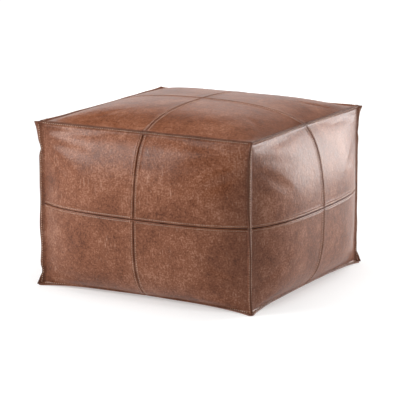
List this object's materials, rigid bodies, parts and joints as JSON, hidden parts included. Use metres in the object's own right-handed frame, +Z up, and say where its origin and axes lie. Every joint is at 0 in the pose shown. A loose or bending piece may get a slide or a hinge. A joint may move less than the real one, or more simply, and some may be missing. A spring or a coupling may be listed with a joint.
{
  "type": "leather pouf",
  "caption": "Square stuffed leather pouf with patched panels, raised edge seams, pointed corners and a zipped underside.",
  "frame": {"origin": "on the floor, under the middle of the pouf", "axes": "+Z up, +X along the zip towards its closed end, -Y the front side"},
  "size_m": [0.612, 0.612, 0.401],
  "materials": {
    "leather": "satin",
    "thread": "matte",
    "liner_cotton": "matte",
    "filling": "matte",
    "zip_tape": "matte",
    "zip_teeth": "satin",
    "zip_brass": "satin"
  },
  "bodies": {
    "cover": {"top_panel_back_right": "leather", "top_panel_back_left": "leather", "top_panel_front_left": "leather", "top_panel_front_right": "leather", "front_panel_lower_left": "leather", "front_panel_lower_right": "leather", "front_panel_upper_left": "leather", "front_panel_upper_right": "leather", "right_panel_lower_left": "leather", "right_panel_lower_right": "leather", "right_panel_upper_left": "leather", "right_panel_upper_right": "leather", "back_panel_lower_left": "leather", "back_panel_lower_right": "leather", "back_panel_upper_left": "leather", "back_panel_upper_right": "leather", "left_panel_lower_left": "leather", "left_panel_lower_right": "leather", "left_panel_upper_left": "leather", "left_panel_upper_right": "leather", "underside_panel_front_left": "leather", "underside_panel_front_right": "leather", "underside_panel_back_left": "leather", "underside_panel_back_right": "leather", "top_topstitching": "thread", "front_topstitching": "thread", "right_topstitching": "thread", "back_topstitching": "thread", "left_topstitching": "thread", "zip_tape_stitching": "thread", "top_lip_stitching": "thread", "upright_lip_stitching": "thread", "bottom_lip_stitching": "thread", "liner_top": "liner_cotton", "liner_front": "liner_cotton", "liner_right": "liner_cotton", "liner_back": "liner_cotton", "liner_left": "liner_cotton", "liner_bottom": "liner_cotton", "filling": "filling", "zip_tape_front": "zip_tape", "zip_tape_back": "zip_tape", "zip_teeth_front": "zip_teeth", "zip_teeth_back": "zip_teeth", "zip_stop_open_end": "zip_brass", "zip_stop_closed_end": "zip_brass"},
    "zip_slider": {"zip_slider": "zip_brass"},
    "zip_pull": {"zip_pull": "zip_brass"}
  },
  "joints": [
    {"name": "zip_slide", "type": "slide", "parent": "cover", "child": "zip_slider", "axis": [1, 0, 0], "range_m": [-0.412, 0]},
    {"name": "pull_hinge", "type": "hinge", "parent": "zip_slider", "child": "zip_pull", "pos_m": [0.206, 0, 0.0022], "axis": [0, -1, 0], "range_deg": [0, 175]}
  ]
}
